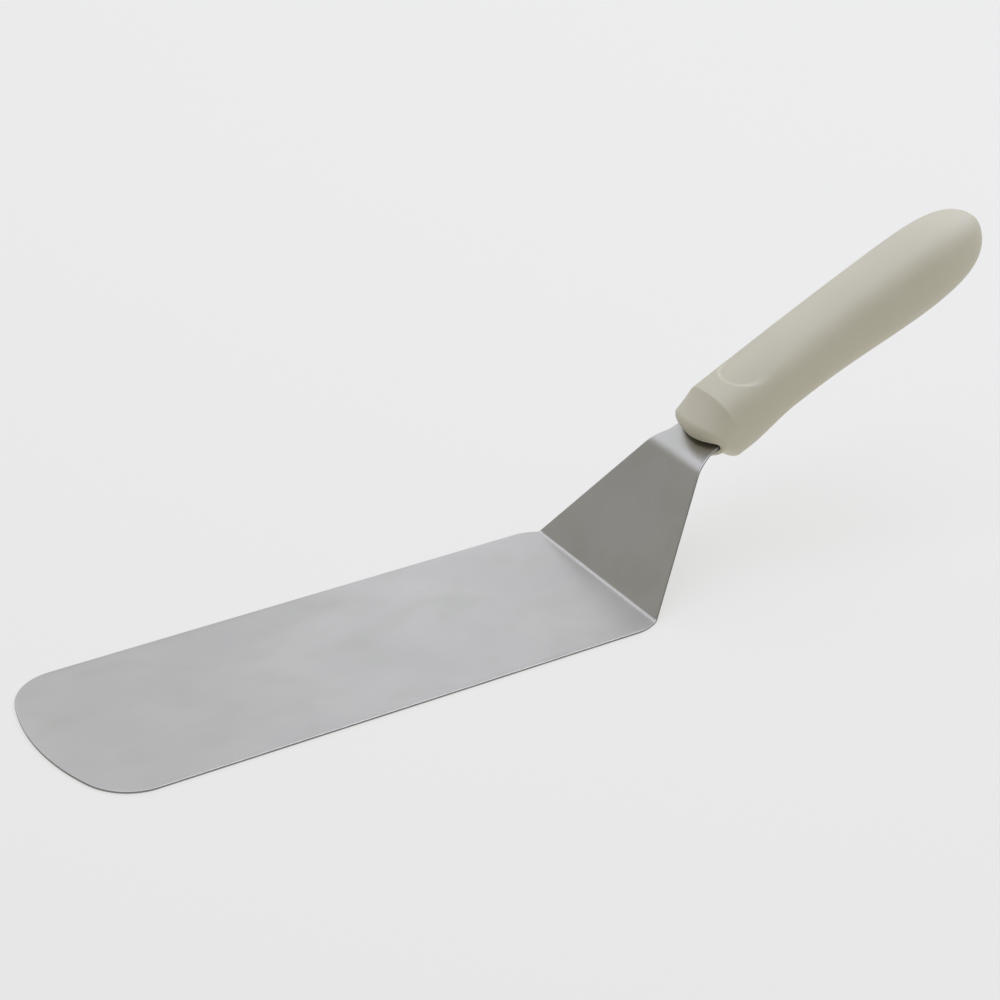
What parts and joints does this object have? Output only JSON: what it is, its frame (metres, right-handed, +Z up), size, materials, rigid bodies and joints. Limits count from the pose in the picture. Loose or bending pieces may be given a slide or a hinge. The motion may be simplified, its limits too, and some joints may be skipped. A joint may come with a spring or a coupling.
{
  "type": "offset spatula",
  "caption": "Wide stainless blade with rounded tip corners, cranked up at the heel through a tapering riser into a moulded plastic handle with a finger guard.",
  "frame": {"origin": "bottom centre of the whole object's bounding box, in the plane that the blade lies on", "axes": "+X from the blade's tip towards the handle, +Z up from the blade's underside, +Y across the blade, with the object mirrored about y = 0"},
  "size_m": [0.366, 0.073, 0.1055],
  "materials": {
    "blade_steel": "satin stainless, brushed along the blade",
    "handle_plastic": "fine-grained off-white polypropylene with a soft sheen"
  },
  "bodies": {
    "root": {"blade": "blade_steel", "handle": "handle_plastic"}
  },
  "joints": []
}
